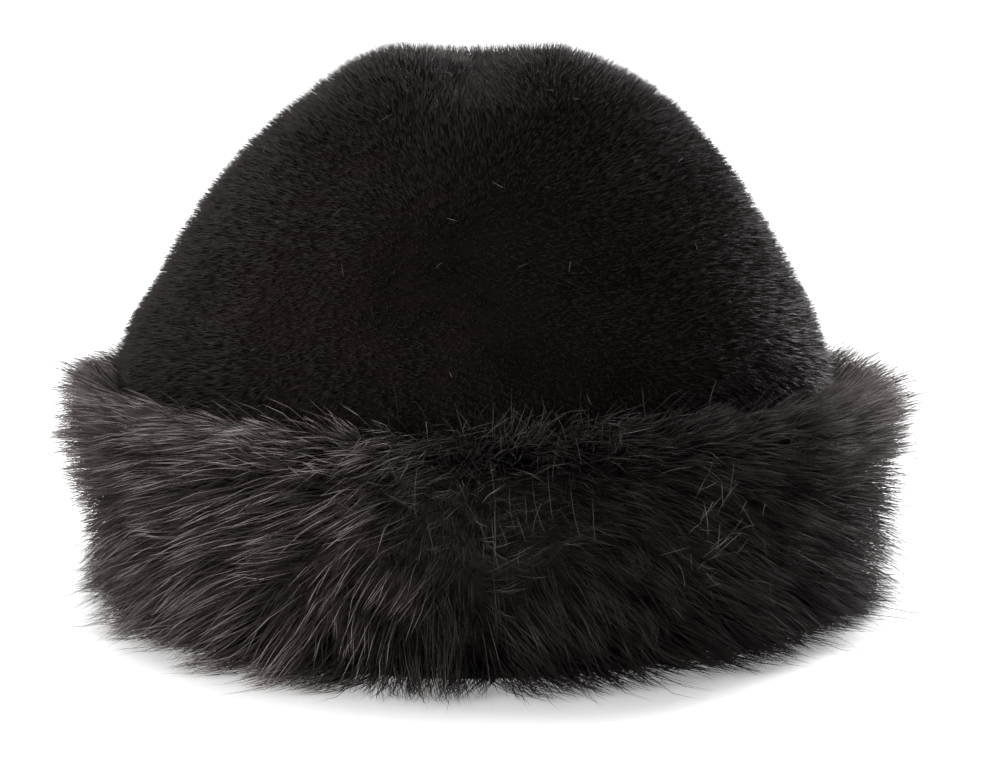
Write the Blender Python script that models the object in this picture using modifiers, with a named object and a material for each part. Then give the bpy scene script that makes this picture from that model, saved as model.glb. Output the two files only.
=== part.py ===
"""A black fur hat: a domed crown of short plush pile in a deep turned-up cuff of long fur.

Metres, +Z up, the front of the hat towards -Y. The hat rests on the plane Z = 0, with the
origin under the middle of its head opening. Two pieces: the crown is a hollow shell of pelt
and dense pile with a crease along its top, and the cuff is a ring of matted fur round it,
with the outer fur fused on in overlapping locks.
"""

import math
import random
from collections import namedtuple

import bmesh
import bpy
from mathutils import Vector

# Head opening, for a head of about 58 cm round
HEAD_WIDTH = 0.172
HEAD_DEPTH = 0.196

# Crown: its sizes where it leaves the cuff, its height before the crease is pressed in, and the
# wall of pelt and pile
CROWN_WIDTH = 0.203
CROWN_DEPTH = 0.228
CROWN_HEIGHT = 0.1645
WALL = 0.008

# Crease along the top of the crown, from front to back
CREASE_DEPTH = 0.0095
CREASE_WIDTH = 0.030
CREASE_LENGTH = 0.096
CREASE_FORWARD = 0.010

# Cuff: the matted fur that stands out from the crown, and the locks on it
CUFF_HEIGHT = 0.066
CUFF_FUR = 0.010
LOCK_LENGTH = 0.020
LOCK_WIDTH = 0.024
LOCK_THICKNESS = 0.014
LOCK_ROOT = 0.006
LOCKS_ROUND = 34
LENGTH_SPREAD = 0.15
TURN_SPREAD = 0.20
SEED = 11

# Air between the crown and the cuff
CLEARANCE = 0.0003

# Facets of the crown and the cuff, and of one lock
ROUND = 44
CROWN_RINGS = 15
LOCK_SIDES = 5

# The crown's sections from its widest place up. Heights are shares of CROWN_HEIGHT, widths
# and depths of CROWN_WIDTH and CROWN_DEPTH, and the setback towards the back of CROWN_DEPTH.
CrownSection = namedtuple("CrownSection", "height width depth setback")
CROWN_SECTIONS = (
    CrownSection(height=0.22, width=0.985, depth=0.985, setback=0.000),
    CrownSection(height=0.44, width=1.000, depth=1.000, setback=0.000),
    CrownSection(height=0.56, width=0.920, depth=0.930, setback=0.002),
    CrownSection(height=0.68, width=0.815, depth=0.835, setback=0.005),
    CrownSection(height=0.80, width=0.684, depth=0.715, setback=0.008),
    CrownSection(height=0.89, width=0.535, depth=0.580, setback=0.010),
    CrownSection(height=0.955, width=0.372, depth=0.420, setback=0.011),
    CrownSection(height=0.99, width=0.190, depth=0.225, setback=0.012),
    CrownSection(height=1.00, width=0.000, depth=0.000, setback=0.012),
)

# The cuff's section without its locks, anticlockwise from its outermost point. Out is a share
# of CUFF_FUR from the crown, where less than 0 is inside the crown and cut away by it, and up
# is a share of CUFF_HEIGHT, where less than 0 is cut away flat.
CuffPoint = namedtuple("CuffPoint", "out up")
CUFF_SECTION = (
    CuffPoint(out=1.00, up=0.50),
    CuffPoint(out=0.98, up=0.72),
    CuffPoint(out=0.84, up=0.90),
    CuffPoint(out=0.48, up=1.00),
    CuffPoint(out=0.10, up=0.97),
    CuffPoint(out=-0.25, up=0.80),
    CuffPoint(out=-0.25, up=0.38),
    CuffPoint(out=-0.25, up=-0.04),
    CuffPoint(out=0.70, up=-0.04),
    CuffPoint(out=0.92, up=0.08),
    CuffPoint(out=1.00, up=0.27),
)

# The rows of locks from the crest down. Out and up place their roots as in CUFF_SECTION,
# lift and droop are degrees above the horizon at root and tip, length is a share of
# LOCK_LENGTH, and turn shifts the row round by a share of the pitch.
LockRow = namedtuple("LockRow", "out up lift droop length turn")
LOCK_ROWS = (
    LockRow(out=0.34, up=0.96, lift=46, droop=12, length=0.84, turn=0.0),
    LockRow(out=0.82, up=0.83, lift=34, droop=2, length=0.98, turn=0.5),
    LockRow(out=0.98, up=0.66, lift=20, droop=-12, length=1.00, turn=0.0),
    LockRow(out=1.00, up=0.49, lift=10, droop=-22, length=0.98, turn=0.5),
    LockRow(out=1.00, up=0.32, lift=2, droop=-28, length=0.98, turn=0.0),
    LockRow(out=0.92, up=0.15, lift=-8, droop=-24, length=0.96, turn=0.5),
)

# One lock from root to tip: how far along it, and how wide there as a share of its width
LockRing = namedtuple("LockRing", "along spread")
LOCK_RINGS = (
    LockRing(along=0.00, spread=0.96),
    LockRing(along=0.56, spread=0.88),
)

PILE_COLOUR = (0.0060, 0.0045, 0.0042)
FUR_COLOUR = (0.0085, 0.0065, 0.0062)


def clear_scene():
    """Removes what the file holds, so that only the hat is left."""
    for old in list(bpy.data.objects):
        bpy.data.objects.remove(old)


def collection_of(name):
    """A new collection in the scene."""
    made = bpy.data.collections.new(name)
    bpy.context.scene.collection.children.link(made)
    return made


def move_to(obj, collection):
    """Puts an object in one collection only."""
    for old in list(obj.users_collection):
        old.objects.unlink(obj)
    collection.objects.link(obj)
    return obj


def fur_material(name, colour, roughness):
    """A matt black for one length of fur."""
    made = bpy.data.materials.new(name)
    made.use_nodes = True
    shader = made.node_tree.nodes["Principled BSDF"]
    shader.inputs["Base Color"].default_value = (*colour, 1.0)
    shader.inputs["Roughness"].default_value = roughness
    shader.inputs["Metallic"].default_value = 0.0
    return made


def through(values, place):
    """The smooth curve through evenly spaced values, flat at its first and mirrored at its last."""
    last = len(values) - 1
    step = min(int(place), last - 1)
    part = place - step
    a = values[max(step - 1, 0)]
    b, c = values[step], values[step + 1]
    d = values[step + 2] if step + 2 <= last else 2 * c - b
    return 0.5 * (
        2 * b + (c - a) * part + (2 * a - 5 * b + 4 * c - d) * part**2 + (3 * b - a - 3 * c + d) * part**3
    )


def crown_columns():
    """The crown's heights, half widths, half depths and setbacks, from its rim to its apex."""
    rim = (0.0, HEAD_WIDTH / 2 + WALL, HEAD_DEPTH / 2 + WALL, 0.0)
    rows = [rim] + [
        (
            s.height * CROWN_HEIGHT,
            s.width * CROWN_WIDTH / 2,
            s.depth * CROWN_DEPTH / 2,
            s.setback * CROWN_DEPTH,
        )
        for s in CROWN_SECTIONS
    ]
    return list(zip(*rows))


def crown_at(place):
    """Height, half width, half depth and setback of the crown, at a place along its sections."""
    heights, widths, depths, setbacks = crown_columns()
    # The apex is round: past it the height comes down again and the other side goes on
    mirrored_heights = heights + (heights[-2],)
    return (
        through(mirrored_heights, place),
        through(widths, place),
        through(depths, place),
        through(setbacks, place),
    )


def crown_place_at(height):
    """The place along the sections where the crown has this height, below its apex."""
    low, high = 0.0, float(len(CROWN_SECTIONS) - 1)
    for _ in range(30):
        middle = (low + high) / 2
        if crown_at(middle)[0] < height:
            low = middle
        else:
            high = middle
    return low


def crease_at(x, y):
    """How far the crease lowers the top of the crown at this point."""
    across = (2 * x / CREASE_WIDTH) ** 2
    along = (2 * (y + CREASE_FORWARD) / CREASE_LENGTH) ** 4
    return CREASE_DEPTH * math.exp(-across - along)


def oval_point(half_width, half_depth, setback, angle, out):
    """A point of an oval ring moved out by a length, with the way out and the way round there."""
    ways_out = Vector((math.cos(angle) / half_width, math.sin(angle) / half_depth, 0)).normalized()
    point = Vector((half_width * math.cos(angle), half_depth * math.sin(angle) + setback, 0))
    return point + ways_out * out, ways_out, Vector((-ways_out.y, ways_out.x, 0))


def beside_crown(angle, out, height):
    """A point this far out from the crown's side at a height, with the way out and round."""
    _, half_width, half_depth, setback = crown_at(crown_place_at(max(height, 0.0)))
    point, ways_out, ways_round = oval_point(half_width, half_depth, setback, angle, out)
    point.z = height
    return point, ways_out, ways_round


def crown_form(name, grow, skirt, collection):
    """The crown's outer skin as a dome open at the bottom, grown by a length.

    The skirt is how far the skin goes on below the rim, for a flat cut there.
    """
    bpy.ops.mesh.primitive_uv_sphere_add(segments=ROUND, ring_count=2 * CROWN_RINGS, radius=1.0)
    dome = move_to(bpy.context.object, collection)
    dome.name = name
    shape = bmesh.new()
    shape.from_mesh(dome.data)
    lower_half = [v for v in shape.verts if v.co.z < -1e-4]
    bmesh.ops.delete(shape, geom=lower_half, context="VERTS")
    sections = len(CROWN_SECTIONS)
    for v in shape.verts:
        rise = math.degrees(math.asin(min(max(v.co.z, 0.0), 1.0))) / 90
        ring = round(rise * CROWN_RINGS)
        if ring == 0:
            height, half_width, half_depth, setback = crown_at(0.0)
            height -= skirt
        else:
            place = sections * (ring - 1) / (CROWN_RINGS - 1)
            height, half_width, half_depth, setback = crown_at(place)
        angle = math.atan2(v.co.y, v.co.x)
        half_width, half_depth = max(half_width, 0.0), max(half_depth, 0.0)
        v.co = Vector((half_width * math.cos(angle), half_depth * math.sin(angle) + setback, height))
        v.co.z -= crease_at(v.co.x, v.co.y) if height > CUFF_HEIGHT else 0.0
    shape.normal_update()
    if grow:
        moves = [(v, v.normal * grow) for v in shape.verts]
        for v, move in moves:
            v.co += move
    shape.to_mesh(dome.data)
    shape.free()
    return dome


def add_boolean(obj, operation, other):
    """Joins or cuts an object with another, or with every object of a collection."""
    step = obj.modifiers.new(f"{operation.lower()}_{other.name}", "BOOLEAN")
    step.operation = operation
    step.solver = "EXACT"
    if isinstance(other, bpy.types.Collection):
        step.operand_type = "COLLECTION"
        step.collection = other
    else:
        step.object = other
    return step


def as_helper(obj):
    """Marks an object as a cutter or a guide."""
    obj.hide_render = True
    obj.display_type = "WIRE"
    return obj


def rest_block(cutters):
    """A block under the surface that the hat rests on, which cuts flat what would go below it."""
    across = 2 * (CROWN_WIDTH + CROWN_DEPTH)
    deep = CUFF_HEIGHT
    bpy.ops.mesh.primitive_cube_add(size=1.0, location=(0, 0, -deep / 2))
    block = move_to(bpy.context.object, cutters)
    block.name = "rest_block"
    block.dimensions = (across, across, deep)
    return as_helper(block)


def make_crown(hat, block):
    """The crown: a dome of pelt and pile with a creased top, open below for the head."""
    crown = crown_form("crown", 0.0, WALL, hat)
    wall = crown.modifiers.new("wall", "SOLIDIFY")
    wall.thickness = WALL
    wall.offset = -1
    add_boolean(crown, "DIFFERENCE", block)
    crown.data.materials.append(fur_material("short_pile", PILE_COLOUR, 0.75))
    crown.data.shade_smooth()
    return crown


def make_crown_plug(cutters):
    """A closed block of the crown's outer form and the air round it, which cuts the cuff."""
    plug = crown_form("crown_plug", CLEARANCE, 2 * WALL, cutters)
    shape = bmesh.new()
    shape.from_mesh(plug.data)
    bmesh.ops.holes_fill(shape, edges=[e for e in shape.edges if e.is_boundary], sides=0)
    shape.to_mesh(plug.data)
    shape.free()
    as_helper(plug)


def lock_template():
    """One straight lock along +Z, one long and one across, with its rings and a point."""
    shape = bmesh.new()
    bmesh.ops.create_cone(
        shape, cap_ends=True, cap_tris=False, segments=LOCK_SIDES, radius1=0.5, radius2=0.0, depth=1.0
    )
    bmesh.ops.translate(shape, verts=shape.verts, vec=(0, 0, 0.5))
    bmesh.ops.remove_doubles(shape, verts=shape.verts, dist=1e-5)
    for ring in LOCK_RINGS[1:]:
        everything = shape.verts[:] + shape.edges[:] + shape.faces[:]
        bmesh.ops.bisect_plane(shape, geom=everything, plane_co=(0, 0, ring.along), plane_no=(0, 0, 1))
    for v in shape.verts:
        for ring in LOCK_RINGS:
            if abs(v.co.z - ring.along) < 1e-4:
                flat = Vector((v.co.x, v.co.y)).normalized() * ring.spread / 2
                v.co.x, v.co.y = flat
    made = bpy.data.meshes.new("lock")
    shape.to_mesh(made)
    shape.free()
    return made


def lock_on(template, row, angle, length, turn):
    """A copy of the template, bent from its row's lift to its droop, rooted in the cuff."""
    root, ways_out, ways_round = beside_crown(angle, CLEARANCE + row.out * CUFF_FUR, row.up * CUFF_HEIGHT)
    up = Vector((0, 0, 1))

    def heading(degrees):
        tilt = math.radians(degrees)
        return (ways_out * math.cos(tilt) + up * math.sin(tilt)).normalized()

    first = heading(row.lift)
    last = (heading(row.droop) + ways_round * turn).normalized()
    start = root - first * LOCK_ROOT
    whole = length + LOCK_ROOT
    made = template.copy()
    for v in made.vertices:
        across, thick, along = v.co.x * LOCK_WIDTH, v.co.y * LOCK_THICKNESS, v.co.z
        centre = start + (first * (along - along**2 / 2) + last * along**2 / 2) * whole
        heading_here = first.lerp(last, along).normalized()
        side = ways_round - heading_here * ways_round.dot(heading_here)
        side.normalize()
        v.co = centre + side * across + heading_here.cross(side) * thick
    return made


def make_locks(locks):
    """Every lock of the cuff as a helper of its own, row by row."""
    template = lock_template()
    vary = random.Random(SEED)
    pitch = 2 * math.pi / LOCKS_ROUND
    for number, row in enumerate(LOCK_ROWS):
        for place in range(LOCKS_ROUND):
            angle = (place + row.turn + 0.25) * pitch
            length = LOCK_LENGTH * row.length * (1 + LENGTH_SPREAD * vary.uniform(-1, 1))
            turn = TURN_SPREAD * vary.uniform(-1, 1)
            mesh = lock_on(template, row, angle, length, turn)
            lock = bpy.data.objects.new(f"lock_{number}_{place}", mesh)
            locks.objects.link(lock)
            as_helper(lock)
    bpy.data.meshes.remove(template)


def make_cuff(hat, locks, cutters):
    """The cuff: a ring of matted fur round the crown, with its locks fused on."""
    bpy.ops.mesh.primitive_torus_add(
        major_segments=ROUND, minor_segments=len(CUFF_SECTION), major_radius=1.0, minor_radius=0.5
    )
    cuff = move_to(bpy.context.object, hat)
    cuff.name = "cuff"
    for v in cuff.data.vertices:
        angle = math.atan2(v.co.y, v.co.x)
        inwards = math.hypot(v.co.x, v.co.y) - 1.0
        step = round(math.atan2(v.co.z, inwards) / (2 * math.pi) * len(CUFF_SECTION))
        section = CUFF_SECTION[step % len(CUFF_SECTION)]
        v.co = beside_crown(angle, CLEARANCE + section.out * CUFF_FUR, section.up * CUFF_HEIGHT)[0]
    add_boolean(cuff, "UNION", locks)
    add_boolean(cuff, "DIFFERENCE", cutters)
    cuff.data.materials.append(fur_material("long_fur", FUR_COLOUR, 0.6))
    cuff.data.shade_smooth()
    return cuff


def main():
    """Builds the hat."""
    clear_scene()
    hat = collection_of("fur_hat")
    cutters = collection_of("cutters")
    locks = collection_of("locks")
    make_crown(hat, rest_block(cutters))
    make_crown_plug(cutters)
    make_locks(locks)
    make_cuff(hat, locks, cutters)


main()
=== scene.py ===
"""Looks of a black fur hat: a plush crown of short pile in a deep turned-up cuff of long fur.

Metres, in the frame of the solids: +Z up, the front towards -Y, resting on Z = 0. Every hair is a
thin closed mesh, grown from arrays and joined into one piece for each part of the hat.
"""

import logging
import math
from dataclasses import dataclass, field, fields
from enum import Enum
from typing import Any, NamedTuple

import bmesh
import bpy
import numpy as np
from mathutils import Matrix, Vector
from mathutils.bvhtree import BVHTree
from mathutils.kdtree import KDTree

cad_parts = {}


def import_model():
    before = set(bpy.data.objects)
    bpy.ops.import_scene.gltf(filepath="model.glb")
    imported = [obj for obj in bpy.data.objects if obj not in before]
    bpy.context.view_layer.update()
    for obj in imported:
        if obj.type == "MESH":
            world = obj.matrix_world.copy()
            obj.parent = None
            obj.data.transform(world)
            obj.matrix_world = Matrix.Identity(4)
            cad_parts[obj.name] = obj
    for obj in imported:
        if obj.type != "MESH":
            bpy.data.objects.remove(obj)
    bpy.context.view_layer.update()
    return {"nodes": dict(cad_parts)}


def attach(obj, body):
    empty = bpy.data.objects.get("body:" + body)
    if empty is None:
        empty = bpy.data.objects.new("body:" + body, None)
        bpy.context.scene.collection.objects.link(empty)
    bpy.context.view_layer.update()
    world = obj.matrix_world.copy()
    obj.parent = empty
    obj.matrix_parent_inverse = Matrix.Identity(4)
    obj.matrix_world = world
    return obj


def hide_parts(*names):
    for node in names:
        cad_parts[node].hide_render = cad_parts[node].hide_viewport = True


LOG = logging.getLogger("fur_hat")

Colour = tuple[float, float, float]
Place = tuple[float, float, float]
Pair = tuple[float, float]
Array = np.ndarray

HAIR_MAP = "OFBake"
UP = np.array((0.0, 0.0, 1.0))
WHITE = (1.0, 1.0, 1.0, 1.0)

# Points closer than this are one point
WELD = 1e-5


class Layer(NamedTuple):
    """A layer of the cuff's fur: the bearing where it begins and its part of a turn.

    reach is the shortest and the longest of its hairs as shares of their full length, and
    radius half a hair's thickness.
    """

    begins: float
    turn: float
    reach: Pair
    radius: float


class Side(Enum):
    """The halves that the crown's pile is made in, with the way that each looks from the middle."""

    LEFT = -1
    RIGHT = 1


class Coat(Enum):
    """The layers of the cuff's fur: dense short hair, and long guard hair in two halves."""

    UNDER_FUR = Layer(begins=90.0, turn=1.0, reach=(0.50, 0.88), radius=0.00018)
    GUARD_LEFT = Layer(begins=90.0, turn=0.5, reach=(0.62, 0.98), radius=0.00011)
    GUARD_RIGHT = Layer(begins=270.0, turn=0.5, reach=(0.62, 0.98), radius=0.00011)


class Signal:
    """A shader socket that Python's operators work on, each adding its Math node."""

    def __init__(self, graph: "Graph", socket: bpy.types.NodeSocket) -> None:
        """Wraps a socket.

        Args:
            graph: The material's graph that the socket is in.
            socket: An output socket.
        """
        self.graph = graph
        self.socket = socket

    def _math(self, operation: str, first: Any, second: Any) -> "Signal":
        """Adds a Math node.

        Args:
            operation: What it works out.
            first: A number or a Signal.
            second: Another.

        Returns:
            Its result.
        """
        made = self.graph.node("ShaderNodeMath", {"operation": operation}, {0: first, 1: second})
        return Signal(self.graph, made.outputs[0])

    def __add__(self, other: Any) -> "Signal":
        """self + other."""
        return self._math("ADD", self, other)

    def __radd__(self, other: Any) -> "Signal":
        """other + self."""
        return self._math("ADD", other, self)

    def __sub__(self, other: Any) -> "Signal":
        """self - other."""
        return self._math("SUBTRACT", self, other)

    def __rsub__(self, other: Any) -> "Signal":
        """other - self."""
        return self._math("SUBTRACT", other, self)

    def __mul__(self, other: Any) -> "Signal":
        """self * other."""
        return self._math("MULTIPLY", self, other)

    def __rmul__(self, other: Any) -> "Signal":
        """other * self."""
        return self._math("MULTIPLY", other, self)

    def __pow__(self, other: Any) -> "Signal":
        """self ** other."""
        return self._math("POWER", self, other)


class Graph:
    """One material's nodes."""

    def __init__(self, name: str) -> None:
        """Starts a material that holds a Principled shader.

        Args:
            name: The material's name.
        """
        self.material = bpy.data.materials.new(name)
        self.material.use_nodes = True
        self.tree = self.material.node_tree
        self.shader = self.tree.nodes["Principled BSDF"]

    def node(
        self, kind: str, settings: dict[str, Any] | None = None, inputs: dict[Any, Any] | None = None
    ) -> bpy.types.Node:
        """Adds a node.

        Args:
            kind: The node's type.
            settings: Its properties, set first.
            inputs: A value or a Signal for each input socket, by name or number.

        Returns:
            The new node.
        """
        made = self.tree.nodes.new(kind)
        for name, value in (settings or {}).items():
            setattr(made, name, value)
        for name, value in (inputs or {}).items():
            self.feed(made.inputs[name], value)
        return made

    def feed(self, socket: bpy.types.NodeSocket, value: Any) -> None:
        """Links a signal to a socket, or sets its value.

        Args:
            socket: An input socket.
            value: A Signal, or the socket's new value.
        """
        if isinstance(value, Signal):
            self.tree.links.new(value.socket, socket)
        else:
            socket.default_value = value

    def dress(self, looks: dict[str, Any]) -> None:
        """Feeds the shader's inputs, by name."""
        for name, value in looks.items():
            self.feed(self.shader.inputs[name], value)

    def out(self, node: bpy.types.Node, name: Any = 0) -> Signal:
        """One output of a node."""
        return Signal(self, node.outputs[name])

    def blend(self, share: Any, start: Any, end: Any) -> Signal:
        """A colour between two others.

        Args:
            share: 0 gives start, 1 gives end.
            start: A Colour or a Signal.
            end: A Colour or a Signal.

        Returns:
            The blended colour.
        """
        sides = [(*c, 1.0) if isinstance(c, tuple) else c for c in (start, end)]
        made = self.node(
            "ShaderNodeMix", {"data_type": "RGBA"}, {"Factor": share, 6: sides[0], 7: sides[1]}
        )
        return Signal(self, made.outputs[2])

    def noise(self, scale: float, detail: float) -> Signal:
        """Noise on the piece's own coordinates.

        Args:
            scale: Waves to a metre.
            detail: Octaves.

        Returns:
            The noise, about 0.5 in the middle.
        """
        place = self.out(self.node("ShaderNodeTexCoord"), "Object")
        made = self.node("ShaderNodeTexNoise", None, {"Vector": place, "Scale": scale, "Detail": detail})
        return self.out(made)


@dataclass(frozen=True)
class FurFinish:
    """Hair that is lighter towards its tip. The hair map holds its tone across and its length up.

    fade is how late along a hair its tip's colour comes, and dull how much rougher the darkest
    hairs are than the lightest.
    """

    name: str
    root: Colour
    dark_tip: Colour
    light_tip: Colour
    roughness: float
    specular: float
    fade: float = 1.5
    dull: float = 0.20

    def material(self) -> bpy.types.Material:
        """Makes the material.

        Returns:
            The material.
        """
        graph = Graph(self.name)
        place = graph.node("ShaderNodeUVMap", {"uv_map": HAIR_MAP})
        split = graph.node("ShaderNodeSeparateXYZ", None, {0: graph.out(place)})
        tone, along = graph.out(split, 0), graph.out(split, 1)
        tip = graph.blend(tone, self.dark_tip, self.light_tip)
        looks = {
            "Base Color": graph.blend(along**self.fade, self.root, tip),
            "Roughness": self.roughness + self.dull * (1 - tone),
            "Specular IOR Level": self.specular,
        }
        graph.dress(looks)
        return graph.material


@dataclass(frozen=True)
class PeltFinish:
    """A matt surface with a fine uneven nap, for what the hairs stand on.

    grain is the nap's waves to a metre, height its depth, patch how many times larger its light
    and dark patches are, and bump how strongly it shows.
    """

    name: str
    dark: Colour
    light: Colour
    grain: float
    height: float
    roughness: float
    specular: float
    patch: float = 30.0
    bump: float = 0.6

    def material(self) -> bpy.types.Material:
        """Makes the material.

        Returns:
            The material.
        """
        graph = Graph(self.name)
        fine = graph.noise(self.grain, detail=3.0)
        broad = graph.noise(self.grain / self.patch, detail=2.0)
        nap = {"Strength": self.bump, "Distance": self.height, "Height": fine}
        bump = graph.node("ShaderNodeBump", None, nap)
        looks = {
            "Base Color": graph.blend(fine * broad * 2, self.dark, self.light),
            "Roughness": self.roughness,
            "Specular IOR Level": self.specular,
            "Normal": graph.out(bump, "Normal"),
        }
        graph.dress(looks)
        return graph.material


SHORT_PILE = FurFinish(
    name="short_pile",
    root=(0.0120, 0.0084, 0.0078),
    dark_tip=(0.0130, 0.0092, 0.0086),
    light_tip=(0.0640, 0.0540, 0.0530),
    roughness=0.40,
    specular=0.18,
)
LONG_FUR = FurFinish(
    name="long_fur",
    root=(0.0100, 0.0071, 0.0067),
    dark_tip=(0.0105, 0.0075, 0.0070),
    light_tip=(0.3500, 0.2980, 0.2900),
    roughness=0.36,
    specular=0.13,
)
LOOSE_HAIR = FurFinish(
    name="loose_hair",
    root=(0.040, 0.035, 0.034),
    dark_tip=(0.040, 0.035, 0.034),
    light_tip=(0.320, 0.285, 0.280),
    roughness=0.45,
    specular=0.20,
)
PILE_SKIN = PeltFinish(
    name="pile_skin",
    dark=(0.0042, 0.0030, 0.0029),
    light=(0.0110, 0.0080, 0.0076),
    grain=2600.0,
    height=0.0006,
    roughness=0.9,
    specular=0.0,
)
MATTED_PELT = PeltFinish(
    name="matted_pelt",
    dark=(0.0075, 0.0054, 0.0051),
    light=(0.0125, 0.0092, 0.0087),
    grain=1800.0,
    height=0.0006,
    roughness=0.9,
    specular=0.1,
)
BACKING = PeltFinish(
    name="inner_backing",
    dark=(0.0080, 0.0060, 0.0056),
    light=(0.0200, 0.0160, 0.0152),
    grain=1400.0,
    height=0.0003,
    roughness=0.85,
    specular=0.2,
)


def unit(vectors: Array) -> Array:
    """Vectors scaled to a length of one."""
    return vectors / np.maximum(np.linalg.norm(vectors, axis=-1, keepdims=True), 1e-12)


def across(vectors: Array, ways: Array) -> Array:
    """The part of each vector that is square to its way, at a length of one."""
    return unit(vectors - ways * (vectors * ways).sum(-1, keepdims=True))


class Drift:
    """A slow wander through space, from about -1 to 1, as fur lies in patches."""

    WAVES = 9
    PITCHES = (0.7, 1.6)

    def __init__(self, seed: int, wave: float) -> None:
        """Sets the waves.

        Args:
            seed: What the waves are drawn from.
            wave: The usual size of a patch, in metres.
        """
        draw = np.random.default_rng(seed)
        ways = unit(draw.normal(size=(self.WAVES, 3)))
        self.ways = ways * draw.uniform(*self.PITCHES, (self.WAVES, 1)) * math.tau / (2 * wave)
        self.starts = draw.uniform(0, math.tau, self.WAVES)

    def at(self, points: Array) -> Array:
        """The wander at each point."""
        return np.sin(points @ self.ways.T + self.starts).sum(1) / math.sqrt(self.WAVES)


@dataclass(frozen=True)
class Strands:
    """Hairs to grow, one row for each.

    first and last are the headings at root and tip, and radius is half a hair's thickness.
    """

    root: Array
    first: Array
    last: Array
    length: Array
    radius: Array
    tone: Array

    def path(self, along: Array) -> Array:
        """The middle line of each hair.

        Args:
            along: Shares of a hair's length.

        Returns:
            A point for each hair and each share.
        """
        share = along[None, :, None]
        bent = self.first[:, None] * (share - share**2 / 2) + self.last[:, None] * share**2 / 2
        return self.root[:, None] + bent * self.length[:, None, None]


class Ring(NamedTuple):
    """A place along a hair, and how thick the hair is there as a share of its thickness."""

    along: float
    spread: float


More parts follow.
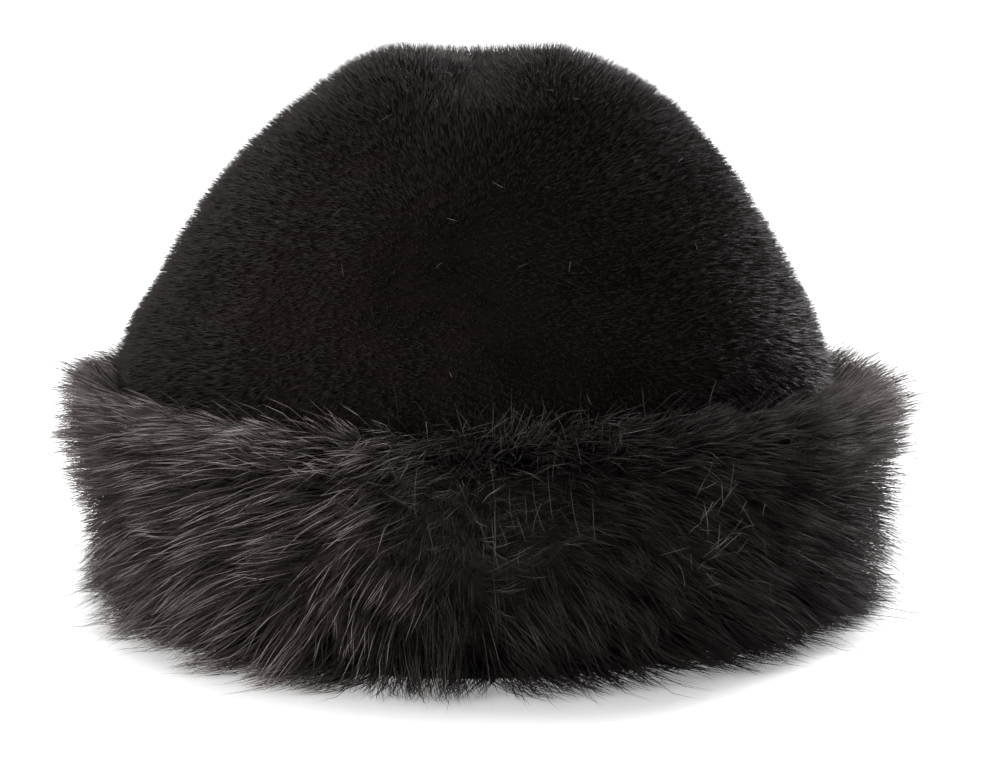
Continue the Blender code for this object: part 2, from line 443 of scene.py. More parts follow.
@dataclass
class HairShape:
    """One hair as a closed pointed tube, which is copied along the path of every hair.

    On the hair map each hair takes a narrow strip, placed across by its tone.
    """

    STRIP_FIRST = 0.01
    STRIP_RANGE = 0.96
    STRIP_WIDTH = 0.02
    MAP_ROOT = 0.03
    MAP_LENGTH = 0.95

    rings: tuple[Ring, ...]
    sides: int = 3
    along: Array = field(init=False)
    ring: Array = field(init=False)
    around: Array = field(init=False)
    faces: Array = field(init=False)
    map: Array = field(init=False)

    def __post_init__(self) -> None:
        """Makes the tube with a cone and cuts, and keeps its points, faces and map."""
        shape = bmesh.new()
        bmesh.ops.create_cone(
            shape, cap_ends=True, cap_tris=False, segments=self.sides, radius1=1.0, radius2=0.0, depth=1.0
        )
        bmesh.ops.translate(shape, verts=shape.verts, vec=(0, 0, 0.5))
        bmesh.ops.remove_doubles(shape, verts=shape.verts, dist=WELD)
        for ring in self.rings[1:]:
            everything = shape.verts[:] + shape.edges[:] + shape.faces[:]
            bmesh.ops.bisect_plane(shape, geom=everything, plane_co=(0, 0, ring.along), plane_no=(0, 0, 1))
        bmesh.ops.triangulate(shape, faces=shape.faces)
        bmesh.ops.recalc_face_normals(shape, faces=shape.faces)
        shape.verts.index_update()
        places = np.array([v.co[:] for v in shape.verts])
        self.along = np.array([ring.along for ring in self.rings] + [1.0])
        spread = np.array([ring.spread for ring in self.rings] + [0.0])
        self.ring = np.abs(places[:, 2:] - self.along[None, :]).argmin(1)
        self.around = unit(places[:, :2]) * spread[self.ring][:, None]
        self.faces = np.array([[v.index for v in face.verts] for face in shape.faces])
        turn = np.round(np.arctan2(places[:, 1], places[:, 0]) / math.tau * self.sides) % self.sides
        self.map = np.array([self._corners(face, turn) for face in self.faces]).reshape(-1, 2)
        shape.free()

    def _corners(self, face: Array, turn: Array) -> Array:
        """Where one face lies on the map of a hair.

        Args:
            face: The numbers of its three points.
            turn: How many sides round the hair each point is.

        Returns:
            Shares across the hair's strip and along the hair, for each corner.
        """
        along = self.along[self.ring[face]]
        if along.max() < WELD:
            return np.array(((0.0, 0.0), (1.0, 0.0), (0.5, self.MAP_ROOT)))
        side = turn[face].copy()
        pointed = along > 1 - WELD
        wraps = side[~pointed].max() - side[~pointed].min() > 1.5
        side[(side < 0.5) & wraps] += self.sides
        side[pointed] = side[~pointed].mean()
        return np.stack((side / self.sides, self.MAP_ROOT + self.MAP_LENGTH * along), 1)

    def faces_for(self, most: int) -> int:
        """How many hairs of this shape a number of triangles makes."""
        return most // len(self.faces)

    def grow(
        self, name: str, strands: Strands, path: Array, finish: bpy.types.Material, slot: str
    ) -> bpy.types.Object:
        """Makes one piece of many hairs.

        Args:
            name: The piece's name.
            strands: The hairs.
            path: The middle line of each hair, a point for each ring and the tip.
            finish: The material.
            slot: A material slot's name, not used.

        Returns:
            The piece.
        """
        ways = unit(np.gradient(path, axis=1))
        spins = np.random.default_rng(len(strands.root)).normal(size=(len(path), 1, 3))
        side = across(np.broadcast_to(spins, ways.shape), ways)
        other = np.cross(ways, side)
        sideways = side[:, self.ring] * self.around[None, :, :1]
        turned = sideways + other[:, self.ring] * self.around[None, :, 1:]
        points = path[:, self.ring] + turned * strands.radius[:, None, None]
        strips = self.STRIP_FIRST + self.STRIP_RANGE * np.clip(strands.tone, 0, 1)
        places = np.broadcast_to(self.map, (len(path), *self.map.shape)).copy()
        places[:, :, 0] = strips[:, None] + self.STRIP_WIDTH * places[:, :, 0]
        mesh = self._joined(name, points, places)
        mesh.materials.append(finish)
        return add_piece(mesh)

    def _joined(self, name: str, points: Array, places: Array) -> bpy.types.Mesh:
        """One mesh of every copy, with its hair map.

        Args:
            name: The mesh's name.
            points: Each copy's points.
            places: Each copy's corners on the hair map.

        Returns:
            The mesh.
        """
        count, size = points.shape[:2]
        corners = (self.faces.ravel()[None, :] + size * np.arange(count)[:, None]).ravel().astype(np.int32)
        mesh = bpy.data.meshes.new(name)
        mesh.vertices.add(count * size)
        mesh.vertices.foreach_set("co", points.astype(np.float32).ravel())
        mesh.loops.add(len(corners))
        mesh.loops.foreach_set("vertex_index", corners)
        mesh.polygons.add(len(corners) // 3)
        mesh.polygons.foreach_set("loop_start", np.arange(0, len(corners), 3, dtype=np.int32))
        mesh.polygons.foreach_set("use_smooth", np.ones(len(corners) // 3, bool))
        mesh.uv_layers.new(name=HAIR_MAP).data.foreach_set("uv", places.astype(np.float32).ravel())
        mesh.update(calc_edges=True)
        mesh.validate()
        return mesh


def as_mesh(shape: bmesh.types.BMesh, name: str, finishes: list[bpy.types.Material]) -> bpy.types.Mesh:
    """Turns a finished bmesh into a mesh.

    Args:
        shape: The bmesh, which is freed.
        name: The mesh's name.
        finishes: Its materials.

    Returns:
        The mesh.
    """
    mesh = bpy.data.meshes.new(name)
    shape.to_mesh(mesh)
    shape.free()
    for finish in finishes:
        mesh.materials.append(finish)
    return mesh


def placed(name: str, data: bpy.types.ID) -> bpy.types.Object:
    """Puts a new object in the scene.

    Args:
        name: The object's name.
        data: Its mesh, lamp or camera.

    Returns:
        The object.
    """
    made = bpy.data.objects.new(name, data)
    bpy.context.scene.collection.objects.link(made)
    return made


def add_piece(mesh: bpy.types.Mesh) -> bpy.types.Object:
    """Shows a mesh as a piece of the hat.

    Args:
        mesh: The mesh, which gives the piece its name.

    Returns:
        The piece.
    """
    made = placed(mesh.name, mesh)
    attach(made, "root")
    return made


def gathered(path: Array, centres: Array, pull: Array) -> tuple[Array, Array]:
    """Draws each hair towards the nearest of some chosen hairs, as fur clings in tufts.

    Args:
        path: Each hair's middle line.
        centres: The numbers of the chosen hairs.
        pull: How far each hair goes there, a share for each hair and each point along it.

    Returns:
        The new middle lines, and the number of each hair's chosen one.
    """
    tree = KDTree(len(centres))
    for place, hair in enumerate(centres):
        tree.insert(path[hair, 0], place)
    tree.balance()
    nearest = np.array([tree.find(point)[1] for point in path[:, 0]])
    guide = path[centres[nearest]]
    return path + (guide - path) * pull[:, :, None], nearest


class CrownForm:
    """The outer surface of the solid crown, which hairs and the cuff are placed by."""

    STEPS = 144
    HEIGHTS = np.linspace(0.0005, 0.105, 34)
    BEYOND = 0.4
    MIDDLE = Vector((0, 0, 0.04))

    def __init__(self, node: bpy.types.Object) -> None:
        """Reads the surface.

        Args:
            node: The crown's solid.
        """
        self.shape = bmesh.new()
        self.shape.from_mesh(node.data)
        bmesh.ops.remove_doubles(self.shape, verts=self.shape.verts, dist=WELD)
        self.shape.normal_update()
        tree = BVHTree.FromBMesh(self.shape)
        self.radii = np.empty((self.STEPS, len(self.HEIGHTS)))
        for step in range(self.STEPS):
            angle = math.tau * step / self.STEPS
            way = Vector((math.cos(angle), math.sin(angle), 0))
            for level, height in enumerate(self.HEIGHTS):
                hit = tree.ray_cast(way * self.BEYOND + Vector((0, 0, height)), -way)[0]
                self.radii[step, level] = hit.xy.length
        self.slopes = (np.roll(self.radii, -1, 0) - np.roll(self.radii, 1, 0)) * self.STEPS / (2 * math.tau)

    def _read(self, table: Array, angle: Array, height: Array) -> Array:
        """Reads a table between its entries.

        Args:
            table: A row for each step round the crown, with a value for each height.
            angle: Bearings, in radians.
            height: Heights.

        Returns:
            The value for each bearing and height.
        """
        turn = angle / math.tau * self.STEPS
        step = np.floor(turn).astype(int)
        level = np.interp(height, self.HEIGHTS, np.arange(len(self.HEIGHTS)))
        lower = np.minimum(level.astype(int), len(self.HEIGHTS) - 2)
        here, above = turn - step, level - lower
        near, far = table[step % self.STEPS], table[(step + 1) % self.STEPS]
        rows = np.arange(len(turn))
        low = near[rows, lower] * (1 - here) + far[rows, lower] * here
        high = near[rows, lower + 1] * (1 - here) + far[rows, lower + 1] * here
        return low * (1 - above) + high * above

    def beside(self, angle: Array, out: Array, height: Array) -> tuple[Array, Array, Array]:
        """Points beside the crown.

        Args:
            angle: Bearings round the hat, in radians from +X.
            out: Distances out from the crown's side.
            height: Heights above the surface that the hat rests on.

        Returns:
            The points, and the ways out from the crown and round it there.
        """
        radius, slope = self._read(self.radii, angle, height), self._read(self.slopes, angle, height)
        flat = np.zeros_like(angle)
        ahead = np.stack((np.cos(angle), np.sin(angle), flat), 1)
        beside = np.stack((-np.sin(angle), np.cos(angle), flat), 1)
        ways_out = unit(ahead * radius[:, None] - beside * slope[:, None])
        ways_round = np.stack((-ways_out[:, 1], ways_out[:, 0], flat), 1)
        points = ahead * radius[:, None] + ways_out * out[:, None]
        points[:, 2] = height
        return points, ways_out, ways_round

    def is_outer(self, face: bmesh.types.BMFace) -> bool:
        """Whether a face of the crown looks away from its hollow."""
        return face.normal.dot(face.calc_center_median() - self.MIDDLE) > 0

    def scatter(
        self, side: Side, count: int, lowest: float, draw: np.random.Generator
    ) -> tuple[Array, Array]:
        """Points spread evenly over one half of the crown's outer surface.

        Args:
            side: The half.
            count: How many points.
            lowest: The height below which there are none.
            draw: Where the chances come from.

        Returns:
            The points, and the surface's smooth normals there.
        """
        faces = []
        for face in self.shape.faces:
            centre = face.calc_center_median()
            if self.is_outer(face) and centre.z > lowest and centre.x * side.value > 0:
                faces.append(face)
        corners = np.array([[v.co[:] for v in face.verts] for face in faces])
        normals = np.array([[v.normal[:] for v in face.verts] for face in faces])
        areas = np.array([face.calc_area() for face in faces])
        ends = np.cumsum(areas) / areas.sum()
        chosen = np.searchsorted(ends, (np.arange(count) + draw.random(count)) / count)
        chosen = np.minimum(chosen, len(faces) - 1)
        first, second = np.sqrt(draw.random(count)), draw.random(count)
        shares = np.stack((1 - first, first * (1 - second), first * second), 1)[:, :, None]
        return (corners[chosen] * shares).sum(1), unit((normals[chosen] * shares).sum(1))


class SlopeDepth(NamedTuple):
    """How deep the skin lies where the crown faces upwards by this much, the upright part of 1."""

    upward: float
    depth: float


class SideShift(NamedTuple):
    """How far the skin stands out at a height, on the left side of the hat and on the right."""

    height: float
    left: float
    right: float


@dataclass
class Crown:
    """The domed top: a skin, and short pile that leans down from it.

    The pile leans the way of flow, more outwards further from the middle. Its lean is in
    degrees from upright, and its tone goes from 0, dark, to 1, light. A drift is what changes
    from patch to patch, and a spread from hair to hair. The tone also holds painted light,
    lighter on top and in a patch on the right side, and painted shade, darker where the front
    end of the crease is filled.
    """

    form: CrownForm
    triangles: int = 194_000
    pile_from: float = 0.057
    root_depth: float = 0.0008
    length: float = 0.0047
    length_spread: float = 0.17
    length_span: Pair = (0.5, 1.6)
    radius: float = 0.000115
    radius_span: Pair = (0.8, 1.2)
    flow: Place = (0.0, -0.15, -1.0)
    outward: Place = (0.5, 0.5, 0.0)
    outward_over: float = 0.1
    lean: float = 10.0
    lean_drift: float = 9.0
    lean_filled: float = -6.0
    turn_drift: float = 0.22
    turn_spread: float = 0.13
    curl: float = 0.4
    tone: float = 0.08
    # painted light: the pile's tone is lighter where the crown faces up, as light falls from above
    painted_light_on_top: float = 0.06
    tone_drift: float = 0.03
    # painted shade: the pile is darker where the front end of the crease is filled
    painted_shade_filled: float = -0.07
    tone_spread: float = 0.03
    flank_spread: float = 0.09
    flank: float = 0.1
    # painted light: a lit patch of pile on the right side of the crown, lightest in its middle
    painted_light_spot: Place = (0.096, -0.030, 0.078)
    light_size: Place = (0.032, 0.026, 0.036)
    painted_light_tone: float = 0.9
    depths: tuple[SlopeDepth, ...] = (
        SlopeDepth(upward=0.20, depth=-0.0015),
        SlopeDepth(upward=0.50, depth=-0.0009),
        SlopeDepth(upward=0.70, depth=0.0016),
        SlopeDepth(upward=0.85, depth=0.0003),
        SlopeDepth(upward=0.97, depth=-0.0006),
    )
    shifts: tuple[SideShift, ...] = (
        SideShift(height=0.066, left=0.0007, right=0.0000),
        SideShift(height=0.080, left=0.0024, right=0.0000),
        SideShift(height=0.094, left=0.0000, right=0.0000),
        SideShift(height=0.116, left=0.0000, right=0.0000),
        SideShift(height=0.128, left=0.0000, right=0.0014),
        SideShift(height=0.141, left=0.0000, right=0.0026),
        SideShift(height=0.150, left=-0.0014, right=0.0014),
        SideShift(height=0.158, left=-0.0010, right=-0.0008),
        SideShift(height=0.164, left=0.0004, right=-0.0018),
    )
    shifts_from: float = 0.045
    fill: float = 0.0019
    fill_middle: Pair = (0.003, -0.050)
    fill_size: Pair = (0.017, 0.030)
    fill_upward: float = 0.3
    rim: float = 0.0005
    flat_angle: float = 30.0
    sharp_angle: float = 45.0
    hair: HairShape = field(default_factory=lambda: HairShape((Ring(0.0, 1.0),)))

    def depth(self, points: Array, upward: Array) -> Array:
        """How far the skin lies under the solid's surface.

        Args:
            points: Places on the surface.
            upward: How much the surface looks up there.

        Returns:
            The depths, less where the sides stand out and where pile fills the front end of the
            crease.
        """
        heights, left, right = zip(*self.shifts)
        sides = (np.interp(points[:, 2], heights, side) for side in (left, right))
        shift = np.where(points[:, 0] < 0, *sides)
        shift = shift * np.clip(np.abs(points[:, 0]) / self.shifts_from, 0, 1)
        return np.interp(upward, *zip(*self.depths)) - shift - self.fill * self.filled(points, upward)

    def filled(self, points: Array, upward: Array) -> Array:
        """How much of the fill each place on the surface gets, 1 in the middle of it."""
        away = (points[:, :2] - self.fill_middle) / self.fill_size
        return np.exp(-(away**2).sum(1)) * np.clip(upward / self.fill_upward, 0, 1)

    def skin(self) -> bpy.types.Object:
        """Makes the surface that the pile stands on, and the plain wall inside.

        Returns:
            The piece.
        """
        shape = self.form.shape.copy()
        bmesh.ops.join_triangles(
            shape,
            faces=shape.faces,
            angle_face_threshold=math.radians(self.flat_angle),
            angle_shape_threshold=math.pi,
        )
        for face in shape.faces:
            outer = self.form.is_outer(face) and face.calc_center_median().z > self.rim
            face.material_index = 0 if outer else 1
            face.smooth = True
        shape.normal_update()
        outside = [v for v in shape.verts if all(face.material_index == 0 for face in v.link_faces)]
        places, ways = (np.array([getattr(v, name)[:] for v in outside]) for name in ("co", "normal"))
        for v, depth in zip(outside, self.depth(places, ways[:, 2])):
            v.co -= v.normal * float(depth)
        crease = shape.edges.layers.float.new("crease_edge")
        for edge in shape.edges:
            if len(edge.link_faces) == 2 and edge.calc_face_angle() > math.radians(self.sharp_angle):
                edge[crease] = 1.0
        mesh = as_mesh(shape, "crown_skin", [PILE_SKIN.material(), BACKING.material()])
        made = add_piece(mesh)
        finer = made.modifiers.new("finer", "SUBSURF")
        finer.levels = finer.render_levels = 1
        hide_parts("crown")
        return made

    def pile(self, side: Side, finish: bpy.types.Material) -> bpy.types.Object:
        """Grows the pile of one half.

        Args:
            side: The half.
            finish: The pile's material.

        Returns:
            The piece.
        """
        draw = np.random.default_rng(40 + side.value)
        count = self.hair.faces_for(self.triangles)
        points, normals = self.form.scatter(side, count, self.pile_from, draw)
        down = across(points * self.outward / self.outward_over + self.flow, normals)
        beside = np.cross(normals, down)
        filled = self.filled(points, normals[:, 2])
        lean = self.lean + self.lean_drift * Drift(3, 0.030).at(points) + self.lean_filled * filled
        tilt = np.radians(lean)[:, None]
        turn = self.turn_drift * Drift(4, 0.024).at(points)[:, None]
        first = normals * np.cos(tilt) + down * np.sin(tilt) + beside * turn
        first = unit(first + draw.normal(0, self.turn_spread, points.shape))
        # painted light: how far each hair is from the middle of the lit patch on the right
        from_painted_light = np.linalg.norm((points - self.painted_light_spot) / self.light_size, axis=1)
        flank = np.clip(np.abs(points[:, 0]) / self.flank, 0, 1) ** 3
        lengths = np.clip(1 + draw.normal(0, self.length_spread, count), *self.length_span)
        radii = draw.uniform(*self.radius_span, count)
        # The pile's tone: painted light on top and in a patch on the right, painted shade where the crease
        # is filled, and random tone from patch to patch and hair to hair
        tones = (
            self.tone
            + self.painted_light_on_top * normals[:, 2] ** 4
            + self.tone_drift * Drift(5, 0.018).at(points)
            + self.painted_shade_filled * filled
            + draw.normal(0, 1, count) * (self.tone_spread + self.flank_spread * flank)
            + self.painted_light_tone * np.exp(-(from_painted_light**2))
        )
        strands = Strands(
            root=points - normals * (self.root_depth + self.depth(points, normals[:, 2]))[:, None],
            first=first,
            last=unit(first + down * self.curl),
            length=self.length * lengths,
            radius=self.radius * radii,
            tone=tones,
        )
        path = strands.path(self.hair.along)
        return self.hair.grow(f"crown_pile_{side.name.lower()}", strands, path, finish, "short_pile")


class PeltPoint(NamedTuple):
    """A corner of the cuff's pelt: how far out from the crown, and how high."""

    out: float
    up: float


class FurRoot(NamedTuple):
    """A place where the cuff's fur grows, down from the crest.

    lift and droop are a hair's degrees above the horizon at its root and its tip, and share is
    how much of the fur grows above here.
    """

    out: float
    up: float
    lift: float
    droop: float
    length: float
    share: float


class Comb(NamedTuple):
    """How the fur is combed at a bearing.

    sweep leans it round the hat, droop turns it up or down by some degrees, high, middle and
    low lengthen it there, top raises the upper edge, tone lightens all of it as painted sheen,
    most on the left front where the lamp falls, crest lightens its upper part as painted light on
    the top of the cuff, and streaks makes some of its hairs pale, drawn at random and more of
    them where the lamps fall as painted highlight.
    """

    bearing: float
    sweep: float
    droop: float
    high: float
    middle: float
    low: float
    top: float
    tone: float
    crest: float
    streaks: float


@dataclass
class Cuff:
    """The turned-up band: a matted pelt round the crown, and long fur that fans out of it.

    levels are the low, the middle and the high place of the combing. A drift is what changes
    from patch to patch, and a spread from hair to hair. Near the tousled bearing the hairs of
    the crest spread more. Tufts are small groups of hairs that cling together, and locks large
    ones, and both sizes are how many hairs there are to each. The higher their closing, the nearer
    the tips they close. A rarity is how seldom a hair is longer or a pale streak, and the swings
    are the shares of its sideways lean that a hair has at its root and its tip.
    """

    form: CrownForm
    triangles: int = 190_000
    pelt_points: tuple[PeltPoint, ...] = (
        PeltPoint(0.0006, 0.0560),
        PeltPoint(0.0016, 0.0610),
        PeltPoint(0.0042, 0.0630),
        PeltPoint(0.0072, 0.0610),
        PeltPoint(0.0088, 0.0550),
        PeltPoint(0.0094, 0.0440),
        PeltPoint(0.0096, 0.0320),
        PeltPoint(0.0092, 0.0200),
        PeltPoint(0.0080, 0.0100),
        PeltPoint(0.0056, 0.0040),
        PeltPoint(0.0026, 0.0014),
        PeltPoint(0.0006, 0.0010),
        PeltPoint(0.0006, 0.0280),
    )
    roots: tuple[FurRoot, ...] = (
        FurRoot(out=0.0016, up=0.0610, lift=74, droop=46, length=0.017, share=0.00),
        FurRoot(out=0.0036, up=0.0620, lift=56, droop=18, length=0.024, share=0.10),
        FurRoot(out=0.0050, up=0.0580, lift=36, droop=0, length=0.029, share=0.28),
        FurRoot(out=0.0050, up=0.0480, lift=22, droop=-14, length=0.030, share=0.44),
        FurRoot(out=0.0050, up=0.0370, lift=10, droop=-26, length=0.031, share=0.56),
        FurRoot(out=0.0050, up=0.0250, lift=2, droop=-38, length=0.031, share=0.68),
        FurRoot(out=0.0046, up=0.0120, lift=-6, droop=-40, length=0.030, share=0.80),
        FurRoot(out=0.0034, up=0.0040, lift=-2, droop=-14, length=0.027, share=0.93),
        FurRoot(out=0.0020, up=0.0016, lift=3, droop=-5, length=0.023, share=1.00),
    )
    # bearing, sweep, droop, high, middle, low, top, tone, crest, streaks; tone, crest and streaks hold
    # painted sheen and highlights
    combing: tuple[Comb, ...] = (
        Comb(0, 0.05, 13, 1.31, 1.07, 1.09, -0.009, 0.02, 0.30, 0.40),
        Comb(40, 0.05, 6, 1.02, 0.98, 1.02, -0.010, 0.03, 0.12, 0.50),
        Comb(90, 0.10, 0, 0.98, 0.98, 1.00, 0.000, 0.03, 0.04, 0.60),
        Comb(150, -0.10, 0, 0.98, 0.90, 0.92, -0.003, 0.05, 0.03, 0.90),
        Comb(185, -0.12, -2, 1.05, 0.62, 0.93, -0.003, 0.06, 0.03, 1.20),
        Comb(200, -0.18, -6, 1.03, 0.76, 0.74, -0.002, 0.06, 0.03, 1.25),
        Comb(213, -0.24, -10, 1.02, 0.88, 0.86, -0.001, 0.06, 0.03, 1.30),
        Comb(226, -0.30, -13, 1.01, 0.94, 1.17, 0.001, 0.07, 0.02, 2.00),
        Comb(238, -0.34, -16, 1.00, 0.97, 1.17, 0.002, 0.08, 0.01, 2.80),
        Comb(250, -0.30, -18, 1.00, 0.98, 1.24, 0.003, 0.09, 0.00, 3.80),
        Comb(259, -0.14, -17, 0.99, 0.98, 1.26, 0.004, 0.06, 0.01, 2.80),
        Comb(265, 0.00, -15, 0.98, 0.97, 1.26, 0.004, 0.03, 0.00, 0.40),
        Comb(282, 0.12, -14, 0.98, 0.97, 1.23, 0.004, 0.02, 0.00, 0.16),
        Comb(300, 0.28, -8, 0.99, 0.98, 1.05, 0.003, 0.01, -0.01, 0.12),
        Comb(315, 0.27, -4, 1.03, 0.99, 1.03, 0.000, 0.01, 0.03, 0.13),
        Comb(330, 0.22, 2, 1.10, 0.99, 1.20, -0.003, 0.01, 0.14, 0.18),
        Comb(343, 0.14, 9, 1.29, 1.05, 1.17, -0.008, 0.01, 0.30, 0.25),
    )
    levels: tuple[float, ...] = (0.010, 0.034, 0.058)
    rise_drift: float = 6.0
    rise_spread: float = 5.0
    sweep_drift: float = 0.16
    sweep_spread: float = 0.11
    tousled_bearing: float = 268.0
    tousled_width: float = 15.0
    tousled_rise: float = 13.0
    tousled_sweep: float = 0.40
    droop_lost: float = 0.3
    tip_rise: float = 1.4
    length_drift: float = 0.06
    few_longer: float = 0.30
    longer_rarity: int = 8
    streak_rarity: int = 5
    swings: Pair = (0.5, 1.5)
    radius_span: Pair = (0.8, 1.1)
    light_thicker: float = 0.35
    tone_drift: float = 0.03
    under_tone: float = 0.6
    tuft_tones: Pair = (0.5, 1.9)
    tuft_size: int = 12
    tuft_cling: Pair = (0.35, 0.75)
    tuft_closing: float = 1.1
    lock_size: int = 100
    lock_cling: Pair = (0.20, 0.50)
    lock_closing: float = 1.5
    lock_longer: Pair = (1.05, 1.30)
    loose_share: float = 0.18
    loose_cling: float = 0.05
    shortest_wisp: float = 0.85
    longest_wisp: float = 1.38
    hem: float = 0.0008
    hem_spread: float = 0.0045
    under_hair: HairShape = field(default_factory=lambda: HairShape((Ring(0.0, 1.0), Ring(0.5, 0.9))))
    guard_hair: HairShape = field(
        default_factory=lambda: HairShape((Ring(0.0, 0.9), Ring(0.34, 1.0), Ring(0.68, 0.72)))
    )

    def pelt(self) -> bpy.types.Object:
        """Makes the matted band that the fur grows from.

        Returns:
            The piece.
        """
        shape = bmesh.new()
        section = [shape.verts.new((1.0, 0.0, number)) for number in range(len(self.pelt_points))]
        edges = [shape.edges.new((a, b)) for a, b in zip(section, section[1:] + section[:1])]
        bmesh.ops.spin(
            shape,
            geom=section + edges,
            cent=(0, 0, 0),
            axis=(0, 0, 1),
            angle=math.tau,
            steps=CrownForm.STEPS,
            use_merge=True,
        )
        bmesh.ops.remove_doubles(shape, verts=shape.verts, dist=WELD)
        for face in shape.faces:
            face.smooth = True
        numbers = np.array([round(v.co.z) for v in shape.verts])
        angles = np.array([math.atan2(v.co.y, v.co.x) for v in shape.verts])
        table = np.array(self.pelt_points)
        points = self.form.beside(angles, table[numbers, 0], table[numbers, 1])[0]
        for v, point in zip(shape.verts, points):
            v.co = point
        bmesh.ops.recalc_face_normals(shape, faces=shape.faces)
        made = add_piece(as_mesh(shape, "cuff_pelt", [MATTED_PELT.material()]))
        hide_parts("cuff")
        return made

    def strands(self, coat: Coat, count: int, draw: np.random.Generator) -> Strands:
        """Lays out the hairs of one layer.

        Args:
            coat: The layer.
            count: How many hairs.
            draw: Where the chances come from.

        Returns:
            The hairs, before they cling in tufts.
        """
        layer = coat.value
        bearing = (layer.begins + 360 * layer.turn * (np.arange(count) + draw.random(count)) / count) % 360
        angle = np.radians(bearing)
        *columns, shares = np.array(self.roots).T
        place = draw.random(count)
        out, height, lift, droop, length = (np.interp(place, shares, column) for column in columns)
        bearings, *settings = np.array(self.combing).T
        here = [np.interp(bearing, bearings, setting, period=360) for setting in settings]
        # tone is painted sheen by bearing, lightest on the left front where the lamp falls
        sweep, more_droop, high, middle, low, top, tone, crest, streaks = here
        above = np.interp(height, self.levels[1:], (0.0, 1.0))
        below = np.interp(height, self.levels[:2], (1.0, 0.0))
        reach = middle + (high - middle) * above + (low - middle) * below
        # crest is painted light on the upper part of the cuff, strongest on the right
        tone = tone + crest * above
        more_droop = more_droop * (1 - self.droop_lost * above)
        points, ways_out, ways_round = self.form.beside(angle, out, height + top * above)
        tousled = above * np.exp(-(((bearing - self.tousled_bearing) / self.tousled_width) ** 2))
        rise = self.rise_drift * Drift(11, 0.030).at(points)
        rise = rise + draw.normal(0, self.rise_spread + self.tousled_rise * tousled)
        swing = sweep + self.sweep_drift * Drift(12, 0.034).at(points)
        swing = swing + draw.normal(0, self.sweep_spread + self.tousled_sweep * tousled)

        def heading(degrees: Array, sideways: Array) -> Array:
            """Ways out at an angle above the horizon, swung round the hat."""
            tilt = np.radians(degrees)[:, None]
            return unit(ways_out * np.cos(tilt) + UP * np.sin(tilt) + ways_round * sideways[:, None])

        extent = draw.uniform(*layer.reach, count)
        if coat is Coat.UNDER_FUR:
            tone = tone * self.under_tone
        else:
            extent = extent + self.few_longer * draw.random(count) ** self.longer_rarity
            # streaks: pale guard hairs drawn at random, with more of them as painted highlight where the
            # lamps fall
            tone = tone + streaks * draw.random(count) ** self.streak_rarity
        patch = 1 + self.length_drift * Drift(13, 0.022).at(points)
        thicker = 1 + self.light_thicker * np.clip(tone, 0, 1)
        at_root = lift + rise + 0.5 * more_droop * (1 - below)
        at_tip = droop + rise * self.tip_rise + more_droop * (1 - 0.5 * below)
        return Strands(
            root=points,
            first=heading(at_root, swing * self.swings[0]),
            last=heading(at_tip, swing * self.swings[1]),
            length=length * (reach * extent) * patch,
            radius=layer.radius * draw.uniform(*self.radius_span, count) * thicker,
            tone=tone + self.tone_drift * Drift(14, 0.012).at(points),
        )

    def fur(self, coat: Coat, finish: bpy.types.Material) -> bpy.types.Object:
        """Grows one layer of the cuff's fur, in tufts.

        Args:
            coat: The layer.
            finish: The fur's material.

        Returns:
            The piece.
        """
        draw = np.random.default_rng(70 + list(Coat).index(coat))
        hair = self.under_hair if coat is Coat.UNDER_FUR else self.guard_hair
        strands = self.strands(coat, hair.faces_for(self.triangles), draw)
        count = len(strands.root)
        loose = draw.random(count) < self.loose_share
        tufts = draw.choice(count, count // self.tuft_size, replace=False)
        locks = draw.choice(count, count // self.lock_size, replace=False)
        strands.length[locks] *= draw.uniform(*self.lock_longer, len(locks))
        longest = 1.0 if coat is Coat.UNDER_FUR else self.longest_wisp
        strands.length[loose] *= draw.uniform(self.shortest_wisp, longest, loose.sum())
        path = strands.path(hair.along)
        cling = np.where(loose, self.loose_cling, draw.uniform(*self.tuft_cling, count))
        path, tuft = gathered(path, tufts, cling[:, None] * hair.along[None, :] ** self.tuft_closing)
        cling = np.where(loose, 0.0, draw.uniform(*self.lock_cling, count))
        path, _ = gathered(path, locks, cling[:, None] * hair.along[None, :] ** self.lock_closing)
        darkest, lighter = self.tuft_tones
        strands.tone[:] = strands.tone * (darkest + lighter * draw.random(len(tufts))[tuft] ** 3)
        lowest = self.hem + self.hem_spread * draw.random((count, 1)) ** 2
        path[:, :, 2] = np.maximum(path[:, :, 2], lowest)
        return hair.grow(f"cuff_{coat.name.lower()}", strands, path, finish, "long_fur")


class Patch(NamedTuple):
    """Where loose hairs lie: their middle and its spread, their turn from level, and how many."""

    bearing: float
    height: float
    wide: float
    high: float
    turn: float
    scatter: float
    length: float
    tone: float
    count: int


class FurFace(NamedTuple):
    """How far out from the crown the cuff's fur comes at a height."""

    height: float
    out: float


